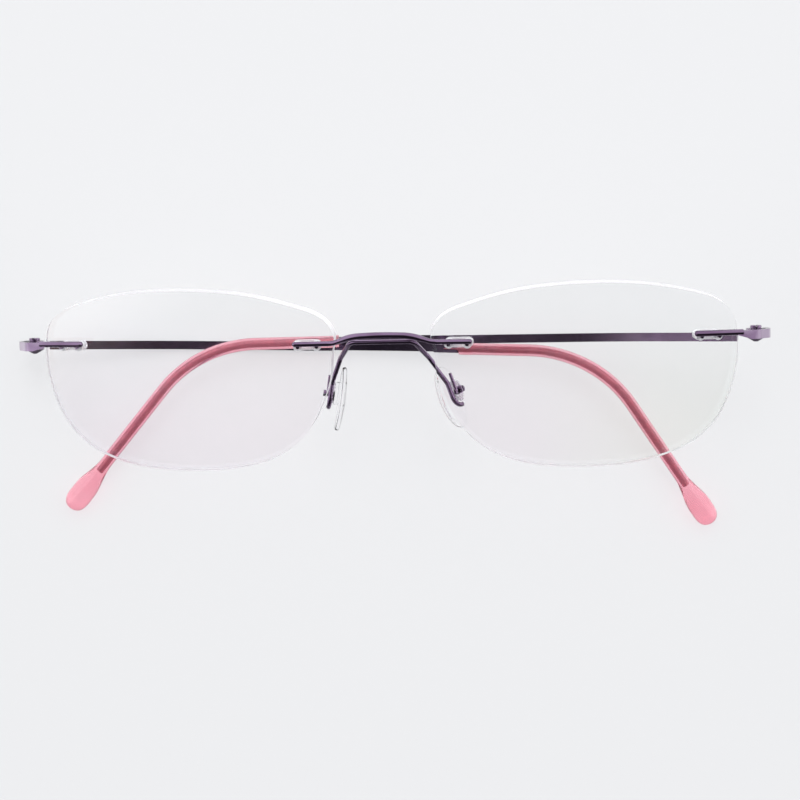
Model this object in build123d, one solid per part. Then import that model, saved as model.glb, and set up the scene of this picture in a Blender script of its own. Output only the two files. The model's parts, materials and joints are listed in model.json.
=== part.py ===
from build123d import *
import math
import os

# Rimless eyeglasses, folded and lying on their temples with the lens fronts up.
# Each piece is built in the front frame: X to the wearer's left, Y up, Z forward,
# with its origin midway between the two temple hinges, whose axes run along Y.
# Pieces are drawn on the left (+X) side, and the right ones are mirrored.
# At the end everything is laid down together, with the table at Z = 0.

# Front
lens_width = 52.3
lens_height = 32.6
lens_gap = 17.2
lens_centre_y = -6.7
lens_ahead = 4.46
lens_radius = 110.0
lens_thickness = 1.9
lens_wrap = 6.0
lens_pitch = 12.0
lie_tilt = 6.0

# Lens mounts
pin_spacing = 3.2
pin_radius = 0.32
plug_radius = 0.78
plug_base_radius = 0.86
plug_base_thickness = 0.5
fit_gap = 0.02
seat_gap = 0.05
nasal_mount_in = 4.3
temporal_mount_in = 5.35
mount_rise = 0.55
nasal_holes_under = 0.5
temporal_holes_under = 0.55
wire_radius = 0.53
wire_end_in = 2.1
temporal_end_in = 2.45

# Bridge and pad arms
bridge_radius = 0.56
bridge_end_radius = 0.45
bridge_swell_start = 0.3
bridge_swell_end = 0.6
bridge_rise = 1.35
bridge_forward = 2.0
bridge_foot_bend = 2.5
bridge_shoulder_bend = 6.0
bridge_top_bend = 30.0
bridge_shoulder_out = 0.29
bridge_shoulder_up = 0.85
guard_radius = 0.42
guard_bend_radius = 1.2
guard_top_drop = 1.04
guard_turn_in = 3.2
guard_turn_drop = 0.2
guard_turn_back = 0.3
guard_lens_gap = 0.95
guard_knee_drop = 3.2
guard_knee_back = 2.7
guard_behind = 0.16
guard_flank_gap = 0.1
guard_flank_top = 1.9
guard_under_face = 0.2
guard_hook_reach = -0.2
guard_hook_radius = 1.9

# Nose pads
pad_length = 11.3
pad_width = 7.0
pad_thickness = 1.25
pad_edge_round = 0.55
boss_length = 4.0
boss_width = 3.3
boss_height = 1.75
boss_up = 0.9
core_length = 3.3
core_width = 2.3
core_height = 1.0
pad_screw_radius = 0.32
pad_head_radius = 0.55
pad_head_height = 0.4
holder_radius = 0.72
holder_thickness = 0.4
holder_gap = 0.1
holder_hole_gap = 0.08
holder_lug_width = 0.8
holder_post_reach = 3.3
holder_post_in = 1.1
holder_post_radius = 0.28
pad_centre_y = -9.5
pad_behind = 4.15

# Hinges
hinge_out = 3.4
hinge_screw_radius = 0.55
hinge_gap = 0.05
strip_thickness = 0.8
strip_height = 1.55
strip_out = 2.3
strip_back = 1.6
strip_past_edge = 0.4
strip_taper = 2.6
strip_on_wire = 1.0
strip_corner_in = 2.2
strip_corner_drop = 0.4
strip_side_drop = 3.0
strip_bends = [1.6, 2.2]
plate_thickness = 0.42
plate_radius = 1.65
web_width = 1.8
tongue_radius = 1.25
head_radius = 0.97
head_height = 0.5
head_round = 0.16
cone_height = 0.75
cone_tip_radius = 0.35
slot_width = 0.28
slot_depth = 0.3

# Temples
temple_length = 140.0
bar_height = 1.5
bar_thickness = 0.8
bar_start = 3.4
bar_sag = 5.0
bar_fall_angle = 11.5
bar_rise_angle = 11.5
bar_bend_radius = 70.0
bar_rise_run = 1.44
neck_overlap = 0.8
neck_half_end = 0.3
neck_front = 0.55
neck_back = 0.75
core_wire_radius = 0.44
core_wire_overlap = 2.3
sleeve_length = 63.2
sleeve_radius = 1.1
sleeve_end_gap = 0.05
ear_bend_radius = 22.0
bulb_radius = 2.15
bulb_length = 10.4
bulb_widest = 0.37
bulb_neck_slope = 0.12
core_end_in_bulb = 0.86
tube_end_in_bulb = 0.5

# What is set differently on the two sides, as on a pair that has been adjusted
tip_short = {"left": 3.0, "right": 0.0}
ear_drop_length = {"left": 37.9, "right": 38.4}
ear_drop_angle = {"left": 49.6, "right": 54.0}
tip_turn_out = {"left": -0.35, "right": 7.63}
temple_drop = {"left": 0.0, "right": 2.0}
temple_below = {"left": 0.62, "right": -0.15}
fold_from_front = {"left": 2.8, "right": lie_tilt}
pad_out = {"left": 1.6, "right": -1.2}
pad_lean = {"left": 20.0, "right": 9.0}
pad_splay = {"left": 30.0, "right": 9.0}

lens_centre_x = lens_gap / 2 + lens_width / 2
hinge_half_span = lens_gap / 2 + lens_width + hinge_out
lens_bow = lens_width**2 / (8 * lens_radius)
lens_centre_z = lens_ahead + lens_bow + lens_width / 2 * math.sin(math.radians(lens_wrap))
plate_top = strip_height / 2
tongue_half = plate_top - plate_thickness - hinge_gap
rise_slope = math.tan(math.radians(bar_rise_angle))
sides = ("left", "right")

# Lens outline, as shares of the half width and half height, from the nasal edge over the top
lens_shape = [
    (-1.0, 0.33), (-0.975, 0.58), (-0.91, 0.68), (-0.78, 0.775), (-0.56, 0.89), (-0.28, 0.972), (0.05, 1.0),
    (0.39, 0.965), (0.68, 0.87), (0.865, 0.755), (0.953, 0.62), (0.993, 0.38), (1.0, 0.15), (0.972, -0.16),
    (0.888, -0.5), (0.74, -0.75), (0.51, -0.915), (0.1, -1.0), (-0.33, -0.965), (-0.6, -0.835),
    (-0.79, -0.59), (-0.905, -0.28), (-0.975, 0.05),
]


def on_side(piece, side):
    return piece if side == "left" else mirror(piece, about=Plane.YZ)


def lens_place():
    centre = Pos(lens_centre_x, lens_centre_y, lens_centre_z)
    return centre * Rot(0, lens_wrap, 0) * Rot(lens_pitch, 0, 0)


def sphere_centre():
    return (lens_place() * Pos(0, 0, -lens_radius)).position


def lens_front(x, y):
    """Height of the lens's front face above a point of the front plane."""
    middle = sphere_centre()
    return middle.Z + math.sqrt(lens_radius**2 - (x - middle.X)**2 - (y - middle.Y)**2)


def mount_plane(x, y):
    """A frame on the lens's front face: Z out of the glass, X level."""
    point = Vector(x, y, lens_front(x, y))
    normal = (point - sphere_centre()).normalized()
    return Plane(origin=point, x_dir=(normal.Z, 0, -normal.X), z_dir=normal)


def rod(radius, start, end):
    way = Vector(*end) - Vector(*start)
    return extrude(Plane(origin=start, z_dir=way) * Circle(radius), way.length)


def wire(points, radii, radius):
    path = FilletPolyline(*points, radius=radii)
    start = Plane(origin=path @ 0, z_dir=path % 0)
    return sweep(start * Circle(radius), path=path)


def lens():
    half = [(x * lens_width / 2, y * lens_height / 2) for x, y in lens_shape]
    outline = make_face(Spline(*half, periodic=True))
    slab = extrude(outline, lens_height / 2, both=True)
    # turned so that the spheres' poles and seams lie off the glass
    shell = Rot(90, 0, 0) * (Sphere(lens_radius) - Sphere(lens_radius - lens_thickness))
    glass = lens_place() * (slab & (Pos(0, 0, -lens_radius) * shell))
    for x, y in hole_points():
        plane = mount_plane(x, y)
        for at in (-pin_spacing / 2, pin_spacing / 2):
            hole = Pos(at, 0, 0) * Cylinder(plug_radius + fit_gap, 4 * lens_thickness)
            glass -= plane.location * hole
    return glass


def mount_points():
    nasal = (lens_gap / 2 + nasal_mount_in, bridge_foot_y())
    temporal = (lens_gap / 2 + lens_width - temporal_mount_in, mount_rise)
    return nasal, temporal


def hole_points():
    """The middles of the pairs of holes, a little under the wires."""
    (nasal_x, nasal_y), (temporal_x, temporal_y) = mount_points()
    return (nasal_x, nasal_y - nasal_holes_under), (temporal_x, temporal_y - temporal_holes_under)


def bridge_foot_y():
    return mount_rise - bridge_end_radius


def plugs(x, y):
    """Clear double plug: a base behind the glass with a tube through each hole."""
    below = -lens_thickness - seat_gap
    base = SlotCenterToCenter(pin_spacing, 2 * plug_base_radius)
    body = Pos(0, 0, below - plug_base_thickness) * extrude(base, plug_base_thickness)
    for at in (-pin_spacing / 2, pin_spacing / 2):
        depth = lens_thickness + seat_gap + plug_base_thickness / 2
        body += Pos(at, 0, -depth / 2) * Cylinder(plug_radius, depth)
        body -= Pos(at, 0, -lens_thickness) * Cylinder(pin_radius + fit_gap, 4 * lens_thickness)
    return mount_plane(x, y).location * body


def pins(x, y, wire_size):
    """The two pins under a mounting wire, from its centre to just behind the plugs."""
    top = wire_size + seat_gap
    foot = -lens_thickness - plug_base_thickness - pin_radius
    place = mount_plane(x, y).location
    pair = [Pos(at, 0, (top + foot) / 2) * Cylinder(pin_radius, top - foot)
            for at in (-pin_spacing / 2, pin_spacing / 2)]
    return [place * pin for pin in pair]


def wire_on_glass(plane, along, radius):
    """A point of a wire that lies on the glass, this far along the mount's level axis."""
    return tuple(plane.from_local_coords((along, 0, radius + seat_gap)))


def bridge_foot():
    """Where the bridge leaves the glass, over the lens's nasal edge."""
    return wire_on_glass(mount_plane(*mount_points()[0]), -nasal_mount_in, bridge_end_radius)


def bridge():
    """Arch that is slimmer where it lies on the glass, with a short cone in each straight."""
    (nasal_x, nasal_y), _ = mount_points()
    end = wire_on_glass(mount_plane(nasal_x, nasal_y), wire_end_in, bridge_end_radius)
    foot = bridge_foot()
    up = bridge_shoulder_up
    shoulder = (lens_gap * bridge_shoulder_out, nasal_y + bridge_rise * up, foot[2] + bridge_forward * up)
    way = Vector(*shoulder) - Vector(*foot)
    slim_end = tuple(Vector(*foot) + way * bridge_swell_start)
    full_start = tuple(Vector(*foot) + way * bridge_swell_end)
    swell_length = way.length * (bridge_swell_end - bridge_swell_start)
    half = wire([end, foot, slim_end], bridge_foot_bend, bridge_end_radius)
    half += Pos(*end) * Sphere(bridge_end_radius)
    cone = Pos(0, 0, swell_length / 2) * Cone(bridge_end_radius, bridge_radius, swell_length)
    half += Plane(origin=slim_end, z_dir=way).location * cone
    for pin in pins(nasal_x, nasal_y - nasal_holes_under, bridge_end_radius):
        half += pin
    top = (0, nasal_y + bridge_rise, foot[2] + bridge_forward)
    left = [full_start, shoulder]
    right = [(-x, y, z) for x, y, z in reversed(left)]
    bends = [bridge_shoulder_bend, bridge_top_bend, bridge_shoulder_bend]
    return wire(left + [top] + right, bends, bridge_radius) + half + mirror(half, about=Plane.YZ)


def pad_place(side):
    """Pad frame on the left side: Z out of the pad's back, towards the arm, Y along it."""
    lens_back = lens_front(lens_gap / 2, pad_centre_y) - lens_thickness
    centre = Pos(lens_gap / 2 + pad_out[side], pad_centre_y, lens_back - pad_behind)
    return centre * Rot(0, 0, pad_lean[side]) * Rot(0, 90 - pad_splay[side], 0)


def holder_height():
    return pad_thickness + boss_height + holder_gap + holder_thickness / 2


def nose_pad(side):
    """Soft pad: an oval dish with a raised boss, above its middle, that holds the metal core."""
    dish = Pos(0, -boss_up, 0) * extrude(Ellipse(pad_width / 2, pad_length / 2), pad_thickness)
    dish = fillet(dish.edges(), pad_edge_round)
    boss_oval = Ellipse(boss_width / 2, boss_length / 2)
    boss = Pos(0, 0, pad_thickness / 2) * extrude(boss_oval, boss_height + pad_thickness / 2)
    body = dish + boss
    pocket = Ellipse(core_width / 2 + fit_gap, core_length / 2 + fit_gap)
    body -= Pos(0, 0, core_foot()) * extrude(pocket, 3 * boss_height)
    return on_side(pad_place(side) * body, side)


def core_foot():
    return pad_thickness + boss_height - core_height


def pad_core(side):
    """Threaded metal core set into the boss."""
    oval = Ellipse(core_width / 2, core_length / 2) - Circle(pad_screw_radius + fit_gap)
    body = Pos(0, 0, core_foot() + fit_gap) * extrude(oval, core_height - fit_gap)
    return on_side(pad_place(side) * body, side)


def pad_screw(side):
    top = holder_height() + holder_thickness / 2 + holder_gap
    foot = core_foot() + 2 * fit_gap
    body = Pos(0, 0, foot) * extrude(Circle(pad_screw_radius), top - foot + fit_gap)
    body += Pos(0, 0, top) * extrude(Circle(pad_head_radius), pad_head_height)
    body -= Pos(0, 0, top + pad_head_height) * Box(slot_width, 4 * pad_head_radius, 2 * slot_depth)
    return on_side(pad_place(side) * body, side)


def flank_x():
    """How far forward of the boss's axis the arm passes it."""
    return -(boss_width / 2 + guard_flank_gap + guard_radius)


def pad_holder(side):
    """Eye that the pad's screw turns in, with a lug beside the arm and a short post."""
    level = holder_height()
    body = Pos(0, 0, level) * Cylinder(holder_radius, holder_thickness)
    lug_end = flank_x() + guard_radius + holder_gap
    body += Pos(lug_end / 2, 0, level) * Box(-lug_end, holder_lug_width, holder_thickness)
    body += rod(holder_post_radius, (-holder_post_in, 0, level), (-holder_post_in, holder_post_reach, level))
    body -= Pos(0, 0, level) * Cylinder(pad_screw_radius + holder_hole_gap, 4 * holder_thickness)
    return on_side(pad_place(side) * body, side)


def beside_boss(side, x, y):
    """A point of the arm where it passes the boss, a little under the boss's end face."""
    level = pad_thickness + boss_height - guard_under_face
    return tuple((pad_place(side) * Pos(x, y, level)).position)


def guard_wire():
    """One bent wire behind the bridge that carries both pads."""
    level = bridge_foot_y() + bridge_rise - guard_top_drop
    depth = bridge_foot()[2] + bridge_forward - bridge_radius - guard_radius - guard_behind
    halves = {}
    for side in sides:
        turn = (lens_gap / 2 - guard_turn_in, level - guard_turn_drop, depth - guard_turn_back)
        knee_depth = depth - lens_thickness - guard_knee_back
        knee = (lens_gap / 2 - guard_lens_gap, level - guard_knee_drop, knee_depth)
        above = beside_boss(side, flank_x(), guard_flank_top)
        under_boss = -(boss_length / 2 + guard_flank_gap + guard_radius)
        corner = beside_boss(side, flank_x(), under_boss)
        halves[side] = [turn, knee, above, corner, beside_boss(side, guard_hook_reach, under_boss)]
    left = list(reversed(halves["left"]))
    right = [(-x, y, z) for x, y, z in halves["right"]]
    bends = [guard_hook_radius] + [guard_bend_radius] * 6 + [guard_hook_radius]
    return wire(left + right, bends, guard_radius)


def endpiece(side):
    """Wire on the glass that becomes a flat strip, turns back, and forks round the hinge."""
    _, (mount_x, mount_y) = mount_points()
    plane = mount_plane(mount_x, mount_y)
    tip = wire_on_glass(plane, -temporal_end_in, wire_radius)
    edge = wire_on_glass(plane, temporal_mount_in + strip_past_edge, wire_radius)
    body = rod(wire_radius, tip, edge)
    body += Pos(*tip) * Sphere(wire_radius)
    slope = (edge[2] - tip[2]) / (edge[0] - tip[0])
    outer = hinge_half_span + strip_out - strip_thickness / 2
    start = (edge[0] - strip_on_wire, edge[2] - slope * strip_on_wire)
    corner_x = outer - strip_corner_in
    strip_full_x = start[0] + strip_taper
    corner = (corner_x, start[1] + slope * (corner_x - start[0]) - strip_corner_drop)
    side_top = (outer, corner[1] - strip_side_drop)
    path = FilletPolyline(start, corner, side_top, (outer, -strip_back), radius=strip_bends)
    strip = Plane.XZ * make_face(offset(path, strip_thickness / 2))
    strip = extrude(strip, strip_height / 2, both=True)
    low, high = mount_rise - wire_radius, mount_rise + wire_radius
    wide = strip_height / 2
    side_view = Polyline((start[0], low), (strip_full_x, -wide), (2 * outer, -wide), (2 * outer, wide),
                         (strip_full_x, wide), (start[0], high), close=True)
    body += strip & extrude(make_face(side_view), 4 * lens_height, both=True)
    hinge = Pos(hinge_half_span, 0, 0) * Rot(90, 0, 0)
    fork = hinge * Cylinder(plate_radius, strip_height)
    web_length = strip_out - strip_thickness / 2
    fork += Pos(hinge_half_span + web_length / 2, 0, 0) * Box(web_length, strip_height, web_width)
    slit = 2 * (tongue_half + hinge_gap)
    fork -= hinge * Cylinder(plate_radius + fit_gap, slit)
    body += fork
    body -= hinge * Cylinder(hinge_screw_radius + fit_gap, 4 * strip_height)
    for pin in pins(mount_x, mount_y - temporal_holes_under, wire_radius):
        body += pin
    return on_side(body, side)


def hinge_screw(side):
    """Slotted head above, shank through the hinge."""
    up = Pos(hinge_half_span, 0, 0) * Rot(-90, 0, 0)
    shank = up * (Pos(0, 0, fit_gap / 2) * Cylinder(hinge_screw_radius, strip_height + fit_gap))
    head = up * (Pos(0, 0, plate_top + fit_gap) * extrude(Circle(head_radius), head_height))
    head = fillet(head.edges().sort_by(Axis.Y)[-1], head_round)
    body = shank + head
    slot = Box(slot_width, 2 * slot_depth, 4 * head_radius)
    body -= Pos(hinge_half_span, plate_top + head_height, 0) * slot
    return on_side(body, side)


def hinge_cap(side):
    """Shallow cone that closes the hinge from below."""
    down = Pos(hinge_half_span, -plate_top - fit_gap, 0) * Rot(90, 0, 0)
    cone = Pos(0, 0, cone_height / 2) * Cone(plate_radius, cone_tip_radius, cone_height)
    return on_side(down * cone, side)


def temple_place(side):
    """Temple frame, folded: X from the hinge to the tip, Y up, Z away from the lenses."""
    fold = math.radians(fold_from_front[side])
    along = (-math.cos(fold), 0, -math.sin(fold))
    outward = (math.sin(fold), 0, -math.cos(fold))
    return Plane(origin=(hinge_half_span, 0, 0), x_dir=along, z_dir=outward).location


def temple_tilt(side):
    """Where the bar and sleeve sit on the tongue: turned down, and lower on one side."""
    return Rot(0, 0, -temple_drop[side]) * Pos(0, -temple_below[side], 0)


def sleeve_start(side):
    return temple_length - tip_short[side] - sleeve_length


def bar_points(side):
    """Bowed bar in the temple's X-Z plane: it falls away, runs level, and rises again."""
    fall = math.radians(bar_fall_angle)
    rise = math.radians(bar_rise_angle)
    low_start = bar_sag / math.tan(fall)
    rise_length = bar_bend_radius * math.tan(rise / 2) + bar_rise_run
    low_end = sleeve_start(side) - rise_length * math.cos(rise)
    sleeve_z = bar_sag - rise_length * math.sin(rise)
    start = (bar_start, bar_start * math.tan(fall))
    return [start, (low_start, bar_sag), (low_end, bar_sag), (sleeve_start(side), sleeve_z)]


def temple(side):
    """Metal temple: tongue, flat bowed bar and the round core wire inside the sleeve."""
    path = FilletPolyline(*bar_points(side), radius=bar_bend_radius)
    profile = Plane.XZ * make_face(offset(path, bar_thickness / 2))
    bar = extrude(profile, bar_height / 2, both=True)
    core = wire(tip_points(side, bulb_length * core_end_in_bulb), ear_bend_radius, core_wire_radius)
    long_part = temple_tilt(side) * (bar + core)
    eye = Rot(90, 0, 0) * Cylinder(tongue_radius, 2 * tongue_half)
    neck_x = bar_start + neck_overlap
    neck_z = bar_points(side)[0][1]
    neck_end = [(neck_x, neck_z - neck_half_end), (neck_x, neck_z + neck_half_end)]
    neck = make_face(Polyline((0, -neck_front), *neck_end, (0, neck_back), close=True))
    tongue = eye + extrude(Plane.XZ * neck, tongue_half, both=True)
    tongue -= Rot(90, 0, 0) * Cylinder(hinge_screw_radius + hinge_gap, 4 * strip_height)
    return on_side(temple_place(side) * (tongue + long_part), side)


def tip_points(side, short_of_end=0.0):
    """Route of the ear end: on along the bar, one wide bend, and down to the tip."""
    start = bar_points(side)[-1]
    bend_x = temple_length - tip_short[side] - ear_drop_length[side]
    corner = (bend_x, 0, start[1] - (bend_x - start[0]) * rise_slope)
    drop = math.radians(ear_drop_angle[side])
    out = math.radians(tip_turn_out[side])
    way = (math.cos(drop) * math.cos(out), -math.sin(drop) * math.cos(out), math.sin(out))
    turn_loss = 2 * ear_bend_radius * math.tan(drop / 2) - ear_bend_radius * drop
    rest = ear_drop_length[side] + turn_loss - short_of_end
    end = tuple(c + w * rest for c, w in zip(corner, way))
    in_bar = (start[0] - core_wire_overlap, 0, start[1] + core_wire_overlap * rise_slope)
    return [in_bar, corner, end]


def temple_tip(side):
    """Clear sleeve over the core wire, ending in a teardrop."""
    points = tip_points(side, bulb_length * tube_end_in_bulb)
    clear = bar_thickness / 2 + sleeve_end_gap
    points[0] = (sleeve_start(side) + clear, 0, bar_points(side)[-1][1] - clear * rise_slope)
    tube = wire(points, ear_bend_radius, sleeve_radius)
    end = tip_points(side)[-1]
    corner = points[1]
    back = (Vector(*corner) - Vector(*end)).normalized()
    bulb_plane = Plane(origin=end, z_dir=back)
    outline = [(0, 0), (bulb_radius, bulb_length * bulb_widest), (sleeve_radius, bulb_length)]
    half = make_face([
        Spline(*outline, tangents=[(1, 0), (0, 1), (-bulb_neck_slope, 1)]),
        Polyline((sleeve_radius, bulb_length), (0, bulb_length), (0, 0)),
    ])
    bulb = bulb_plane.location * revolve(Plane.XZ * half, Axis.Z)
    body = tube + bulb
    core_way = tip_points(side, bulb_length * core_end_in_bulb - fit_gap)
    body -= wire(core_way, ear_bend_radius, core_wire_radius + fit_gap)
    return on_side(temple_place(side) * (temple_tilt(side) * body), side)


def lie_down(piece):
    """Turn the wearer's left side up."""
    return Rot(0, -lie_tilt, 0) * piece


pieces = {"bridge": bridge(), "guard_wire": guard_wire()}
for side in sides:
    nasal, temporal = hole_points()
    pieces[side + "_lens"] = on_side(lens(), side)
    pieces[side + "_nasal_plugs"] = on_side(plugs(*nasal), side)
    pieces[side + "_temporal_plugs"] = on_side(plugs(*temporal), side)
    pieces[side + "_endpiece"] = endpiece(side)
    pieces[side + "_hinge_screw"] = hinge_screw(side)
    pieces[side + "_hinge_cap"] = hinge_cap(side)
    pieces[side + "_nose_pad"] = nose_pad(side)
    pieces[side + "_pad_core"] = pad_core(side)
    pieces[side + "_pad_screw"] = pad_screw(side)
    pieces[side + "_pad_holder"] = pad_holder(side)
    pieces[side + "_temple"] = temple(side)
    pieces[side + "_temple_tip"] = temple_tip(side)

laid = {name: lie_down(piece) for name, piece in pieces.items()}
boxes = [piece.bounding_box() for piece in laid.values()]
middle_x = (min(b.min.X for b in boxes) + max(b.max.X for b in boxes)) / 2
middle_y = (min(b.min.Y for b in boxes) + max(b.max.Y for b in boxes)) / 2
table_z = min(b.min.Z for b in boxes)

os.makedirs("parts", exist_ok=True)
for name, piece in laid.items():
    placed = Pos(-middle_x, -middle_y, -table_z) * piece
    box = placed.bounding_box()
    print(name, len(placed.solids()), "volume", round(placed.volume, 2), "lowest", round(box.min.Z, 3))
    export_step(placed, f"parts/{name}.step")
print("origin from the middle of the hinge line:", round(middle_x, 4), round(middle_y, 4), round(table_z, 4))
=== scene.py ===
import json
import math
import bmesh
import bpy
import numpy as np
from mathutils import Matrix, Vector
from mathutils.bvhtree import BVHTree


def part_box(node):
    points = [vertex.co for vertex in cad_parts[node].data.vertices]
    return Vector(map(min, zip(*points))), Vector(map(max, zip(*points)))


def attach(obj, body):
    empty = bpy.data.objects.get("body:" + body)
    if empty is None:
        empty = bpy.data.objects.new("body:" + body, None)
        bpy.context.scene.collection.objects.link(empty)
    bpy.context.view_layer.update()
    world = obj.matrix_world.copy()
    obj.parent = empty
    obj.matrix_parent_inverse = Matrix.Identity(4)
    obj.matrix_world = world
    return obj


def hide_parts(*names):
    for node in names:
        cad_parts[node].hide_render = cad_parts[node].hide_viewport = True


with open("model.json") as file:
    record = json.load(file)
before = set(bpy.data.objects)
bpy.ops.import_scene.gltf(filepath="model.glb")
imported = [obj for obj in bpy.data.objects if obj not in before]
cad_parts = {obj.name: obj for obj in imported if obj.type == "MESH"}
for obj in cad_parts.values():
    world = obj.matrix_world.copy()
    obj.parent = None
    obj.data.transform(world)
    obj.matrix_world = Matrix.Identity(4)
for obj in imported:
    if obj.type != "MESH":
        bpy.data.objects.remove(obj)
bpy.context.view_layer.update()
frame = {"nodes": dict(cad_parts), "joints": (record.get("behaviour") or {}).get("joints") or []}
nodes = frame["nodes"]
scene = bpy.context.scene
sides = ("left", "right")
mm = 0.001


# small helpers for node trees
def newMaterial(name):
    made = bpy.data.materials.new(name)
    made.use_nodes = True
    made.node_tree.nodes.clear()
    return made, made.node_tree


def addNode(tree, kind, settings=None, **inputs):
    # an input is a value, a colour, or the socket of another node; i0 and i1 stand for inputs without a name
    made = tree.nodes.new(kind)
    for name, value in (settings or {}).items():
        setattr(made, name, value)
    for name, value in inputs.items():
        key = int(name[1:]) if name[0] == "i" and name[1:].isdigit() else name.replace("_", " ")
        socket = made.inputs[key]
        if isinstance(value, bpy.types.NodeSocket):
            tree.links.new(value, socket)
        else:
            socket.default_value = value
    return made


def rgba(colour):
    return tuple(colour) + (1.0,)


def objectPoint(tree):
    return addNode(tree, "ShaderNodeTexCoord").outputs["Object"]


noiseLook = {"detail": 3.0, "fineDetail": 4.0, "flatDetail": 2.0, "roughness": 0.55, "low": 0.3, "high": 0.7}


def noise(tree, scale, detail=noiseLook["detail"]):
    made = addNode(tree, "ShaderNodeTexNoise", None, Vector=objectPoint(tree),
                   Scale=scale, Detail=detail, Roughness=noiseLook["roughness"])
    return made.outputs["Fac"]


def spread(tree, value, low, high, fromLow=noiseLook["low"], fromHigh=noiseLook["high"]):
    # a value's usual range is stretched to low and high
    made = addNode(tree, "ShaderNodeMapRange", None, Value=value, From_Min=fromLow,
                   From_Max=fromHigh, To_Min=low, To_Max=high)
    return made.outputs["Result"]


def mixColour(tree, factor, first, second):
    made = addNode(tree, "ShaderNodeMix", {"data_type": "RGBA"})
    tree.links.new(factor, made.inputs[0])
    for socket, value in ((made.inputs[6], first), (made.inputs[7], second)):
        if isinstance(value, bpy.types.NodeSocket):
            tree.links.new(value, socket)
        else:
            socket.default_value = rgba(value)
    return made.outputs[2]


def clouds(tree, field, first, second):
    return mixColour(tree, spread(tree, field, 0.0, 1.0), first, second)


def blendShaders(tree, factor, first, second):
    made = addNode(tree, "ShaderNodeMixShader", None, Fac=factor)
    tree.links.new(first, made.inputs[1])
    tree.links.new(second, made.inputs[2])
    return made.outputs[0]


def principled(tree, **inputs):
    return addNode(tree, "ShaderNodeBsdfPrincipled", None, **inputs).outputs[0]


def maths(tree, operation, first, second=0.0):
    made = addNode(tree, "ShaderNodeMath", {"operation": operation}, i0=first, i1=second)
    return made.outputs[0]


def bump(tree, height, strength, distance):
    made = addNode(tree, "ShaderNodeBump", None, Height=height, Strength=strength, Distance=distance)
    return made.outputs["Normal"]


def toOutput(tree, shader):
    output = addNode(tree, "ShaderNodeOutputMaterial")
    tree.links.new(shader, output.inputs["Surface"])


def letLampsThrough(tree, shader, tint):
    # lamps reach what lies behind clear plastic through a plain tinted pane
    ray = addNode(tree, "ShaderNodeLightPath").outputs["Is Shadow Ray"]
    pane = addNode(tree, "ShaderNodeBsdfTransparent", None, Color=rgba(tint)).outputs[0]
    return blendShaders(tree, ray, shader, pane)


plumLook = {"deep": (0.13, 0.075, 0.145), "light": (0.25, 0.17, 0.285), "paintedEdgeHighlight": (0.5, 0.42, 0.53),
            "patchScale": 90.0, "grainScale": 1800.0, "smooth": 0.1, "dull": 0.17,
            "paintedEdgeHighlightMost": 0.6, "paintedEdgeHighlightFrom": 0.56, "paintedEdgeHighlightTo": 0.7, "coat": 0.6, "coatRough": 0.06,
            "grainBump": 0.02, "grainDepth": 0.00001}


def plumTitanium():
    # plated metal: slow colour drift, fine grain, and a painted highlight: sharp edges painted a lighter
    # lavender
    made, tree = newMaterial("plumTitanium")
    patches = noise(tree, plumLook["patchScale"])
    grain = noise(tree, plumLook["grainScale"], noiseLook["fineDetail"])
    colour = clouds(tree, patches, plumLook["deep"], plumLook["light"])
    # painted highlight: the sharp edges that pointiness finds are painted a lighter lavender
    edge = addNode(tree, "ShaderNodeNewGeometry").outputs["Pointiness"]
    paintedEdgeHighlight = spread(tree, edge, 0.0, plumLook["paintedEdgeHighlightMost"], plumLook["paintedEdgeHighlightFrom"], plumLook["paintedEdgeHighlightTo"])
    colour = mixColour(tree, paintedEdgeHighlight, colour, plumLook["paintedEdgeHighlight"])
    toOutput(tree, principled(tree, Base_Color=colour, Metallic=1.0,
                              Roughness=spread(tree, grain, plumLook["smooth"], plumLook["dull"]),
                              Coat_Weight=plumLook["coat"], Coat_Roughness=plumLook["coatRough"],
                              Normal=bump(tree, grain, plumLook["grainBump"], plumLook["grainDepth"])))
    return made


screwLook = {"base": (0.62, 0.6, 0.63), "shade": (0.4, 0.37, 0.42), "grainScale": 3200.0,
             "smooth": 0.16, "dull": 0.32, "grainBump": 0.15, "grainDepth": 0.00002}


def screwSteel():
    made, tree = newMaterial("screwSteel")
    grain = noise(tree, screwLook["grainScale"], noiseLook["fineDetail"])
    colour = clouds(tree, grain, screwLook["base"], screwLook["shade"])
    toOutput(tree, principled(tree, Base_Color=colour, Metallic=1.0,
                              Roughness=spread(tree, grain, screwLook["smooth"], screwLook["dull"]),
                              Normal=bump(tree, grain, screwLook["grainBump"], screwLook["grainDepth"])))
    return made


# lamp is over 1 to make up for light that the clear finish loses; the film's thickness is in nanometres
lensLook = {"ior": 1.5, "clear": (1.0, 0.998, 1.0), "rose": (1.0, 0.957, 0.978),
            "straw": (0.985, 0.985, 0.95), "tintTop": 0.7, "tintBottom": -0.5,
            "strawFrom": -0.4, "strawTo": 0.5, "shine": 0.12, "filmThick": 280.0, "filmIor": 1.38,
            "lamp": (1.06, 1.045, 1.052)}


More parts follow.
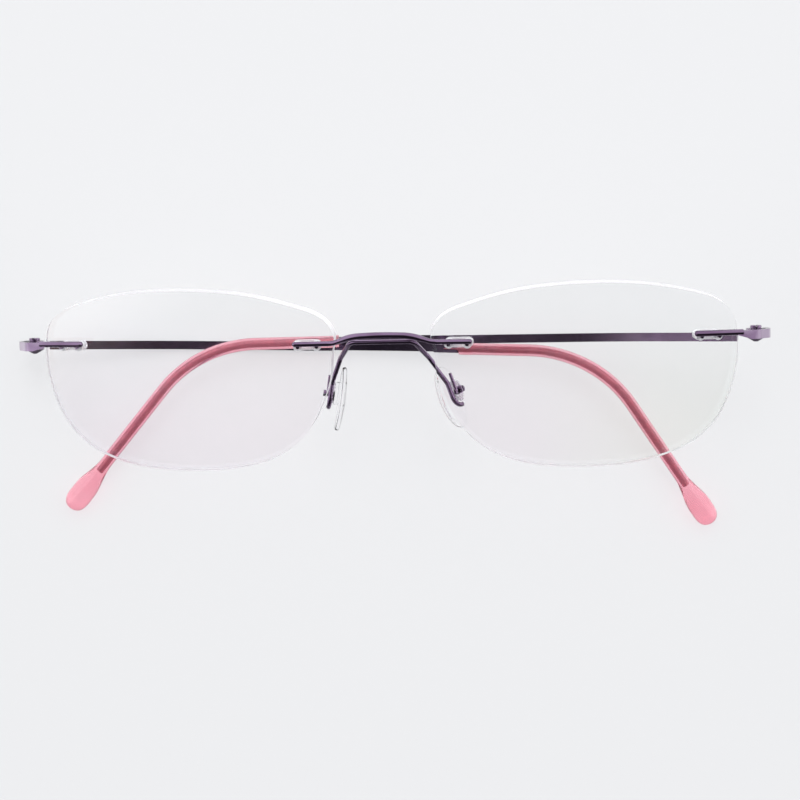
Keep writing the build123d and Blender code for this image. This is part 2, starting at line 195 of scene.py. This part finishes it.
def lensPlastic(side):
    # rose tint that deepens downwards, and turns to straw on the outer side of one lens
    made, tree = newMaterial("lensPlastic" + side.capitalize())
    low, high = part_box(side + "_lens")
    middle = (low + high) / 2
    size = high - low
    place = addNode(tree, "ShaderNodeMapping", {"vector_type": "POINT"}, Vector=objectPoint(tree),
                    Location=(-middle.x / size.x * 2, -middle.y / size.y * 2, 0),
                    Scale=(2 / size.x, 2 / size.y, 1))
    parts = addNode(tree, "ShaderNodeSeparateXYZ", None, Vector=place.outputs[0])
    across, up = parts.outputs["X"], parts.outputs["Y"]
    downwards = spread(tree, up, 1.0, 0.0, lensLook["tintBottom"], lensLook["tintTop"])
    tint = lensLook["rose"]
    if side == "left":
        outwards = spread(tree, across, 0.0, 1.0, lensLook["strawFrom"], lensLook["strawTo"])
        tint = mixColour(tree, outwards, lensLook["rose"], lensLook["straw"])
    colour = mixColour(tree, downwards, lensLook["clear"], tint)
    shader = principled(tree, Base_Color=colour, Roughness=0.0, IOR=lensLook["ior"], Transmission_Weight=1.0,
                        Specular_IOR_Level=lensLook["shine"],
                        Thin_Film_Thickness=lensLook["filmThick"], Thin_Film_IOR=lensLook["filmIor"])
    toOutput(tree, letLampsThrough(tree, shader, lensLook["lamp"]))
    return made


rimLook = {"edge": (0.95, 0.95, 0.97), "edgeShade": (0.84, 0.84, 0.87), "turn": 0.6,
           "hazeScale": 600.0, "markScale": 6000.0, "smooth": 0.3, "dull": 0.42, "through": 0.42,
           "markBump": 0.1, "markDepth": 0.00001, "lamp": (0.9, 0.9, 0.92)}


def lensRim():
    # the ground edge of the glass: satin, with fine cutting marks
    made, tree = newMaterial("lensRim")
    haze = noise(tree, rimLook["hazeScale"])
    marks = noise(tree, rimLook["markScale"], noiseLook["flatDetail"])
    shader = principled(tree, Base_Color=clouds(tree, haze, rimLook["edge"], rimLook["edgeShade"]),
                        Roughness=spread(tree, haze, rimLook["smooth"], rimLook["dull"]),
                        IOR=lensLook["ior"], Transmission_Weight=rimLook["through"],
                        Normal=bump(tree, marks, rimLook["markBump"], rimLook["markDepth"]))
    toOutput(tree, letLampsThrough(tree, shader, rimLook["lamp"]))
    return made


def dressFaces(mesh, main, second, isSecond):
    # the second finish goes on the faces that the test picks
    mesh.materials.clear()
    mesh.materials.append(main)
    mesh.materials.append(second)
    mesh.polygons.foreach_set("material_index", [int(isSecond(face)) for face in mesh.polygons])


def dressLens(side, rim):
    # faces that look sideways are the ground edge
    dressFaces(nodes[side + "_lens"].data, lensPlastic(side), rim,
               lambda face: abs(face.normal.z) < rimLook["turn"])


plugLook = {"clear": (0.97, 0.97, 0.98), "milky": (0.93, 0.93, 0.95), "hazeScale": 700.0,
            "smooth": 0.05, "dull": 0.16, "ior": 1.45, "through": 0.55, "lamp": (0.85, 0.85, 0.87)}


def clearPlug():
    made, tree = newMaterial("clearPlug")
    haze = noise(tree, plugLook["hazeScale"])
    shader = principled(tree, Base_Color=clouds(tree, haze, plugLook["clear"], plugLook["milky"]),
                        Roughness=spread(tree, haze, plugLook["smooth"], plugLook["dull"]),
                        IOR=plugLook["ior"], Transmission_Weight=plugLook["through"])
    toOutput(tree, letLampsThrough(tree, shader, plugLook["lamp"]))
    return made


# sizes in mm; the rows are the stations along each stretch of the profile
padLook = {"halfWidth": 3.5, "halfLength": 5.65, "thick": 1.25, "rim": 0.42, "dish": 0.3,
           "bossHalfWidth": 1.65, "bossHalfLength": 2.0, "bossTop": 2.97, "bossUp": 0.9,
           "fillet": 0.5, "crown": 0.22, "around": 96, "footSlice": 0.2,
           "faceRows": 16, "rimRows": 14, "backRows": 16, "filletRows": 8, "crownRows": 7, "endRows": 8,
           "capShare": 0.02, "endShare": 0.9, "fill": 0.85,
           "ior": 1.17, "clear": (0.985, 0.985, 0.99), "milky": (0.965, 0.97, 0.975), "hazeScale": 420.0,
           "grainScale": 5200.0, "smooth": 0.03, "dull": 0.1, "grainBump": 0.04, "grainDepth": 0.00002,
           "lamp": (0.92, 0.92, 0.935)}


def padSilicone():
    made, tree = newMaterial("padSilicone")
    haze = noise(tree, padLook["hazeScale"])
    grain = noise(tree, padLook["grainScale"], noiseLook["flatDetail"])
    shader = principled(tree, Base_Color=clouds(tree, haze, padLook["clear"], padLook["milky"]),
                        Roughness=spread(tree, haze, padLook["smooth"], padLook["dull"]),
                        IOR=padLook["ior"], Transmission_Weight=1.0,
                        Normal=bump(tree, grain, padLook["grainBump"], padLook["grainDepth"]))
    toOutput(tree, letLampsThrough(tree, shader, padLook["lamp"]))
    return made


def padAxes(side):
    # the swivel's axis is the boss's, and the pad's long way is where its own points spread most
    joint = next(j for j in frame["joints"] if j["name"] == side + "_pad_swivel")
    normal = np.array(joint["axis"], float)
    normal /= np.linalg.norm(normal)
    centre = np.array(joint["pos_m"], float)
    points = np.array([v.co for v in nodes[side + "_nose_pad"].data.vertices]) - centre
    height = points @ normal
    flat = points - np.outer(height, normal)
    _, directions = np.linalg.eigh(flat.T @ flat)
    along = directions[:, -1]
    if along @ flat[height < height.min() + padLook["footSlice"] * mm].mean(0) > 0:
        along = -along
    return centre + normal * height.min(), np.cross(along, normal), along, normal


def padProfile():
    # columns: half width, half length, height and how far down the oval's middle lies; the rows run from
    # the middle of the face, round the rim, over the dished back and up the boss to the middle of its end
    k = padLook
    wide, long = k["halfWidth"] - k["rim"], k["halfLength"] - k["rim"]
    footWide, footLong = k["bossHalfWidth"] + k["fillet"], k["bossHalfLength"] + k["fillet"]
    crownWide, crownLong = k["bossHalfWidth"] - k["crown"], k["bossHalfLength"] - k["crown"]
    share = np.linspace(k["capShare"], 1, k["faceRows"])
    face = np.stack([wide * share, long * share, (k["thick"] - 2 * k["rim"]) * share ** 2,
                     np.full_like(share, k["bossUp"])], axis=1)
    turn = np.linspace(0, math.pi, k["rimRows"])[1:-1]
    rim = np.stack([wide + k["rim"] * np.sin(turn), long + k["rim"] * np.sin(turn),
                    k["thick"] - k["rim"] * (1 + np.cos(turn)), np.full_like(turn, k["bossUp"])], axis=1)
    share = np.linspace(1, 0, k["backRows"])
    back = np.stack([footWide + (wide - footWide) * share, footLong + (long - footLong) * share,
                     k["thick"] - k["dish"] * (1 - share ** 2), k["bossUp"] * share], axis=1)
    turn = np.linspace(0, math.pi / 2, k["filletRows"])[1:]
    fillet = np.stack([footWide - k["fillet"] * np.sin(turn), footLong - k["fillet"] * np.sin(turn),
                       k["thick"] - k["dish"] + k["fillet"] * (1 - np.cos(turn)), 0 * turn], axis=1)
    turn = np.linspace(0, math.pi / 2, k["crownRows"])
    crown = np.stack([crownWide + k["crown"] * np.cos(turn), crownLong + k["crown"] * np.cos(turn),
                      k["bossTop"] - k["crown"] * (1 - np.sin(turn)), 0 * turn], axis=1)
    share = np.linspace(k["endShare"], k["capShare"], k["endRows"])
    end = np.stack([crownWide * share, crownLong * share, 0 * share + k["bossTop"], 0 * share], axis=1)
    return np.concatenate([face, rim, back, fillet, crown, end]) * mm


def sheetMesh(name, grid):
    # a grid of points, closed round its second direction and capped at both ends
    rows, columns, _ = grid.shape
    mesh = bpy.data.meshes.new(name)
    number = np.arange(rows * columns).reshape(rows, columns)
    after = np.roll(number, -1, axis=1)
    faces = np.stack([number[:-1], after[:-1], after[1:], number[1:]], axis=-1).reshape(-1, 4).tolist()
    faces += [number[0][::-1].tolist(), number[-1].tolist()]
    mesh.from_pydata(grid.reshape(-1, 3).tolist(), [], faces)
    mesh.polygons.foreach_set("use_smooth", np.ones(len(faces), bool))
    return mesh


def padPiece(side, material):
    # an oval of each profile station, set in the pad's own axes
    foot, across, along, normal = padAxes(side)
    profile = padProfile()
    angle = np.linspace(0, 2 * math.pi, padLook["around"], endpoint=False)
    grid = (foot + np.outer(profile[:, 0], np.cos(angle))[..., None] * across
            + (np.outer(profile[:, 1], np.sin(angle)) - profile[:, 3:])[..., None] * along
            + profile[:, 2][:, None, None] * normal)
    mesh = sheetMesh(side + "SoftPad", grid)
    mesh.materials.append(material)
    form = bmesh.new()
    form.from_mesh(mesh)
    bmesh.ops.recalc_face_normals(form, faces=form.faces)
    form.to_mesh(mesh)
    form.free()
    pad = bpy.data.objects.new(side + "SoftPad", mesh)
    scene.collection.objects.link(pad)
    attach(pad, side + "_pad")
    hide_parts(side + "_nose_pad")


tipLook = {"pink": (1.0, 0.55, 0.63), "deepPink": (1.0, 0.44, 0.53), "cloudScale": 160.0,
           "smooth": 0.01, "dull": 0.06, "ior": 1.47, "through": 0.87, "lamp": (0.98, 0.74, 0.79)}


def tipPlastic():
    made, tree = newMaterial("tipPlastic")
    cloud = noise(tree, tipLook["cloudScale"])
    shader = principled(tree, Base_Color=clouds(tree, cloud, tipLook["pink"], tipLook["deepPink"]),
                        Roughness=spread(tree, cloud, tipLook["smooth"], tipLook["dull"]),
                        IOR=tipLook["ior"], Transmission_Weight=tipLook["through"])
    toOutput(tree, letLampsThrough(tree, shader, tipLook["lamp"]))
    return made


def wettedBore():
    # the sleeve is shrunk onto its core wire, so no surface shows between the two
    made, tree = newMaterial("wettedBore")
    toOutput(tree, principled(tree, Alpha=0.0))
    return made


# reach is the most, in mm, between faces that touch, and facing the most that their normals' product may be
coreLook = {"paintedPinkGlow": (0.5, 0.17, 0.22), "dark": (0.32, 0.1, 0.15), "cloudScale": 900.0, "metallic": 0.3,
            "smooth": 0.25, "dull": 0.45, "reach": 0.12, "facing": -0.5}


def paintedGlowCore():
    # the core wire is painted pink and lighter than its metal, a painted glow of the pink light that the
    # sleeve scatters onto it, in small clouds
    made, tree = newMaterial("paintedGlowCore")
    cloud = noise(tree, coreLook["cloudScale"])
    toOutput(tree, principled(tree, Base_Color=clouds(tree, cloud, coreLook["paintedPinkGlow"], coreLook["dark"]),
                              Metallic=coreLook["metallic"],
                              Roughness=spread(tree, cloud, coreLook["smooth"], coreLook["dull"])))
    return made


def liesAgainst(mesh):
    # a test of whether a face lies close to the mesh and looks into it
    paintedShadePaper = BVHTree.FromPolygons([point.co for point in mesh.vertices],
                                [tuple(face.vertices) for face in mesh.polygons])

    def test(face):
        _, normal, _, distance = paintedShadePaper.find_nearest(face.center)
        return distance < coreLook["reach"] * mm and normal.dot(face.normal) < coreLook["facing"]

    return test


def dressTip(side):
    temple = nodes[side + "_temple"].data
    tip = nodes[side + "_temple_tip"].data
    dressFaces(tip, finishes["tip"], finishes["bore"], liesAgainst(temple))
    # painted glow: temple faces under the sleeve get the pink core finish
    dressFaces(temple, finishes["metal"], finishes["core"], liesAgainst(tip))


def wear(name, material):
    for place in nodes[name].material_slots:
        place.material = material


finishes = {"metal": plumTitanium(), "screw": screwSteel(), "plug": clearPlug(), "pad": padSilicone(),
            "tip": tipPlastic(), "bore": wettedBore(), "core": paintedGlowCore(), "rim": lensRim()}
for name in ("bridge", "guard_wire"):
    wear(name, finishes["metal"])
for side in sides:
    for part in ("endpiece", "hinge_cap", "pad_holder", "hinge_screw", "pad_screw"):
        wear(f"{side}_{part}", finishes["metal"])
    wear(side + "_pad_core", finishes["screw"])
    for part in ("nasal_plugs", "temporal_plugs"):
        wear(f"{side}_{part}", finishes["plug"])
    dressTip(side)
    dressLens(side, finishes["rim"])
    padPiece(side, finishes["pad"])
print("finishes, lenses and pads done")

# place and lens sizes in mm, turns in degrees, clipping in metres
cameraLook = {"place": (-3.445, 29.145, 286.584), "focal": 69.58, "sensor": 36.0,
              "pitch": 5.547, "yaw": 1.098, "roll": 1.394, "clipNear": 0.01, "clipFar": 10.0}


def makeCamera():
    data = bpy.data.cameras.new("viewer")
    data.sensor_width = cameraLook["sensor"]
    data.lens = cameraLook["focal"]
    data.clip_start, data.clip_end = cameraLook["clipNear"], cameraLook["clipFar"]
    camera = bpy.data.objects.new("viewer", data)
    scene.collection.objects.link(camera)
    turn = (Matrix.Rotation(math.radians(-cameraLook["pitch"]), 4, "X")
            @ Matrix.Rotation(math.radians(-cameraLook["yaw"]), 4, "Y")
            @ Matrix.Rotation(math.radians(-cameraLook["roll"]), 4, "Z"))
    camera.matrix_world = Matrix.Translation(Vector(cameraLook["place"]) * mm) @ turn
    scene.camera = camera


# lengths in metres; see is how much of the plain background shows through
floorLook = {"size": 6.0, "sink": 0.00003, "far": (0.93, 0.94, 0.96), "paintedShadePaper": (0.885, 0.895, 0.91),
             "paintedShadeY": 0.0, "farY": 0.045, "see": 0.7}


def makeFloor():
    half = floorLook["size"] / 2
    mesh = bpy.data.meshes.new("floor")
    corners = [(-half, -half, 0), (half, -half, 0), (half, half, 0), (-half, half, 0)]
    mesh.from_pydata(corners, [], [(0, 1, 2, 3)])
    floor = bpy.data.objects.new("floor", mesh)
    scene.collection.objects.link(floor)
    floor.location.z = -floorLook["sink"]
    paint, tree = newMaterial("floorPaint")
    place = addNode(tree, "ShaderNodeSeparateXYZ", None, Vector=objectPoint(tree))
    # painted shade: the floor is painted darker towards -Y, away from the lamp, and lighter towards +Y
    share = spread(tree, place.outputs["Y"], 0.0, 1.0, floorLook["paintedShadeY"], floorLook["farY"])
    paperWithPaintedShade = mixColour(tree, share, floorLook["paintedShadePaper"], floorLook["far"])
    matt = addNode(tree, "ShaderNodeBsdfDiffuse", None, Color=paperWithPaintedShade).outputs[0]
    veil = addNode(tree, "ShaderNodeBsdfTransparent").outputs[0]
    under = addNode(tree, "ShaderNodeNewGeometry").outputs["Backfacing"]
    share = spread(tree, under, floorLook["see"], 1.0, 0.0, 1.0)
    toOutput(tree, blendShaders(tree, share, matt, veil))
    mesh.materials.append(paint)


lightLook = {"keyPlace": (0.0, 0.55, 0.75), "keySize": 0.4, "keyPower": 1.7,
             "background": (0.875, 0.88, 0.895), "sky": (1.42, 1.42, 1.435), "dusk": (0.05, 0.05, 0.055),
             "duskFrom": 0.1, "duskTo": 0.55, "sideShare": 0.8}


def makeLamp():
    data = bpy.data.lights.new("key", "AREA")
    data.shape = "DISK"
    data.size = lightLook["keySize"]
    data.energy = lightLook["keyPower"]
    key = bpy.data.objects.new("key", data)
    scene.collection.objects.link(key)
    key.location = lightLook["keyPlace"]
    key.visible_glossy = False  # the lenses don't mirror its disc
    key.visible_transmission = False
    key.rotation_mode = "QUATERNION"
    key.rotation_quaternion = (-Vector(lightLook["keyPlace"])).to_track_quat("-Z", "Y")


def makeRoom():
    # bright towards +Y and both sides and dark overhead and towards -Y; the view itself, and what clear
    # pieces show when they are looked down through, is the plain background
    world = bpy.data.worlds.new("softRoom")
    scene.world = world
    world.use_nodes = True
    tree = world.node_tree
    tree.nodes.clear()
    path = addNode(tree, "ShaderNodeLightPath")
    direction = addNode(tree, "ShaderNodeTexCoord").outputs["Generated"]
    towards = addNode(tree, "ShaderNodeSeparateXYZ", None, Vector=direction)
    below = maths(tree, "LESS_THAN", towards.outputs["Z"], 0.0)
    through = maths(tree, "MULTIPLY", below, path.outputs["Is Transmission Ray"])
    seen = maths(tree, "MAXIMUM", path.outputs["Is Camera Ray"], through)
    sideways = maths(tree, "MULTIPLY", maths(tree, "ABSOLUTE", towards.outputs["X"]), lightLook["sideShare"])
    ramp = addNode(tree, "ShaderNodeMapRange", {"interpolation_type": "SMOOTHSTEP"},
                   Value=maths(tree, "ADD", towards.outputs["Y"], sideways),
                   From_Min=lightLook["duskFrom"], From_Max=lightLook["duskTo"])
    room = mixColour(tree, ramp.outputs["Result"], lightLook["dusk"], lightLook["sky"])
    soft = addNode(tree, "ShaderNodeBackground", None, Color=room).outputs[0]
    plain = addNode(tree, "ShaderNodeBackground", None, Color=rgba(lightLook["background"])).outputs[0]
    output = addNode(tree, "ShaderNodeOutputWorld")
    tree.links.new(blendShaders(tree, seen, soft, plain), output.inputs["Surface"])


makeCamera()
makeFloor()
makeLamp()
makeRoom()
scene.view_settings.view_transform = "Standard"
print("stage done")
